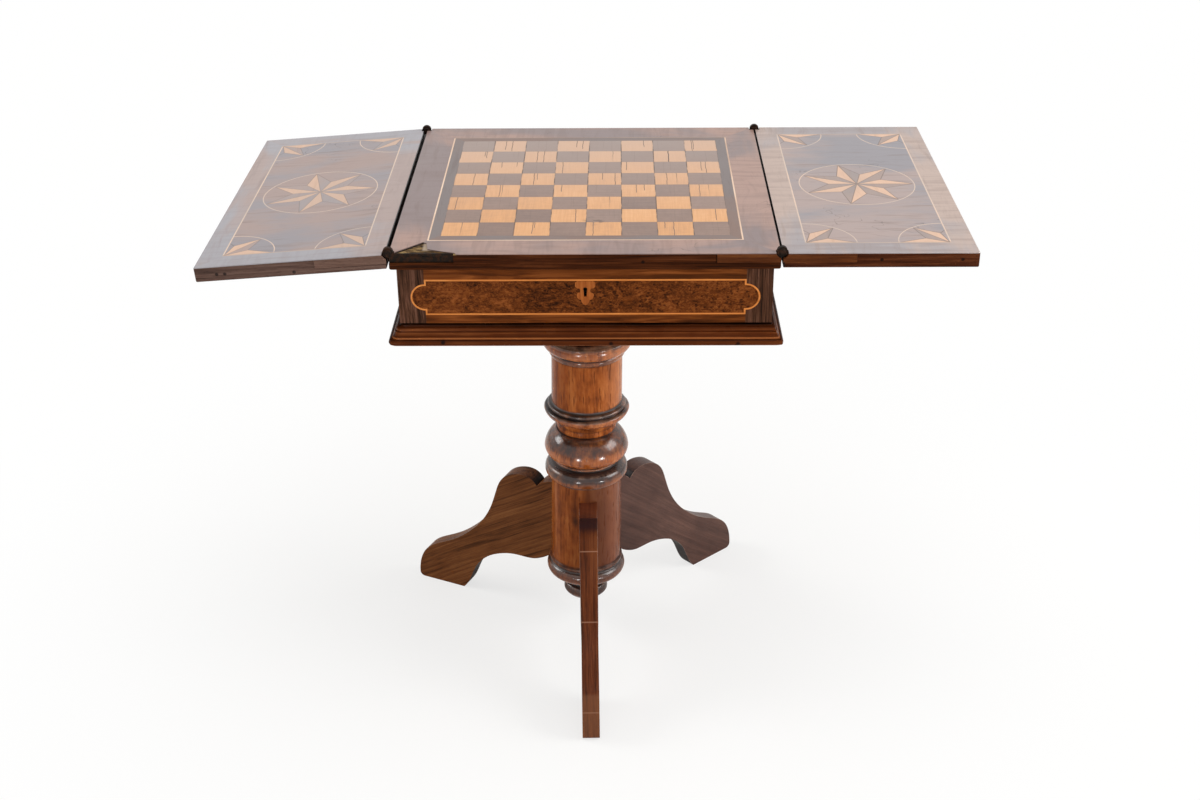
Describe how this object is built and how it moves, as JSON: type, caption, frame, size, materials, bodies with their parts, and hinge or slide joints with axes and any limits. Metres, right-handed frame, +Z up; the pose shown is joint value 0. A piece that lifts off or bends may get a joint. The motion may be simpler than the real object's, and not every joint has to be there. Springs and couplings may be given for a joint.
{
  "type": "games table",
  "caption": "Pedestal games table with an inlaid chess board, two hinged leaves that fold over it, a shallow drawer with a lock, and a turned pillar on cut-out legs.",
  "frame": {"origin": "on the floor, under the centre of the object's box at rest; the middle of the square top is 27.6 mm behind it and 0.3 mm to its left", "axes": "+Z up, +X to the right leaf, -Y to the drawer front"},
  "size_m": [1.0017, 0.5702, 0.739],
  "materials": {
    "pillar_walnut": "polished turned walnut, red-brown",
    "leg_walnut": "waxed walnut, dark",
    "secondary_wood": "plain unpolished softwood",
    "case_walnut": "waxed walnut veneer",
    "moulding_walnut": "waxed walnut",
    "board_walnut": "waxed walnut edge",
    "cover_walnut": "waxed walnut slip",
    "top_walnut": "worn walnut veneer with a soft sheen",
    "burl_walnut": "polished burr walnut veneer",
    "boxwood": "boxwood line",
    "dark_surround": "dark stained veneer",
    "light_square_wood": "pale veneer with cracks",
    "dark_square_wood": "dark veneer",
    "light_inlay": "pale fruitwood inlay",
    "dark_inlay": "dark inlay",
    "iron": "blackened wrought iron",
    "lock_iron": "steel lock with old grease"
  },
  "bodies": {
    "stand": {"base_moulding_back": "moulding_walnut", "base_moulding_front": "moulding_walnut", "base_moulding_left": "moulding_walnut", "base_moulding_right": "moulding_walnut", "bearer_screws": "iron", "board_surround": "dark_surround", "case_back": "case_walnut", "case_bottom": "secondary_wood", "case_left_side": "case_walnut", "case_right_side": "case_walnut", "column": "pillar_walnut", "column_bearer": "secondary_wood", "dark_squares": "dark_square_wood", "front_leg": "leg_walnut", "hinge_rivets": "iron", "left_leg": "leg_walnut", "light_squares": "light_square_wood", "pendant": "pillar_walnut", "right_leg": "leg_walnut", "top_banding": "top_walnut", "top_board": "board_walnut", "top_hinge_covers": "cover_walnut", "top_hinge_screws": "iron", "top_hinge_straps": "iron", "top_stringing": "boxwood", "under_top": "case_walnut"},
    "left_leaf": {"left_leaf_board": "board_walnut", "left_leaf_border": "top_walnut", "left_leaf_dark_points": "dark_inlay", "left_leaf_field": "top_walnut", "left_leaf_hinge_covers": "cover_walnut", "left_leaf_hinge_screws": "iron", "left_leaf_hinge_straps": "iron", "left_leaf_light_points": "light_inlay", "left_leaf_stringing": "boxwood"},
    "right_leaf": {"right_leaf_board": "board_walnut", "right_leaf_border": "top_walnut", "right_leaf_dark_points": "dark_inlay", "right_leaf_field": "top_walnut", "right_leaf_hinge_covers": "cover_walnut", "right_leaf_hinge_screws": "iron", "right_leaf_hinge_straps": "iron", "right_leaf_light_points": "light_inlay", "right_leaf_stringing": "boxwood"},
    "drawer": {"drawer_front": "case_walnut", "drawer_burl_panel": "burl_walnut", "drawer_end_bands": "case_walnut", "drawer_stringing": "boxwood", "escutcheon": "light_inlay", "drawer_left_side": "secondary_wood", "drawer_right_side": "secondary_wood", "drawer_back": "secondary_wood", "drawer_bottom": "secondary_wood", "lock_case": "lock_iron", "lock_screws": "iron"},
    "lock_bolt": {"lock_bolt": "lock_iron"}
  },
  "joints": [
    {"name": "left_leaf_hinge", "type": "hinge", "parent": "stand", "child": "left_leaf", "pos_m": [-0.25153, 0.02761, 0.7322], "axis": [0, 1, 0], "range_deg": [0, 184.2]},
    {"name": "right_leaf_hinge", "type": "hinge", "parent": "stand", "child": "right_leaf", "pos_m": [0.25087, 0.02761, 0.7322], "axis": [0, -1, 0], "range_deg": [0, 180]},
    {"name": "drawer_slide", "type": "slide", "parent": "stand", "child": "drawer", "axis": [0, -1, 0], "range_m": [0, 0.3]},
    {"name": "lock_bolt_slide", "type": "slide", "parent": "drawer", "child": "lock_bolt", "axis": [0, 0, 1], "range_m": [0, 0.005]}
  ]
}
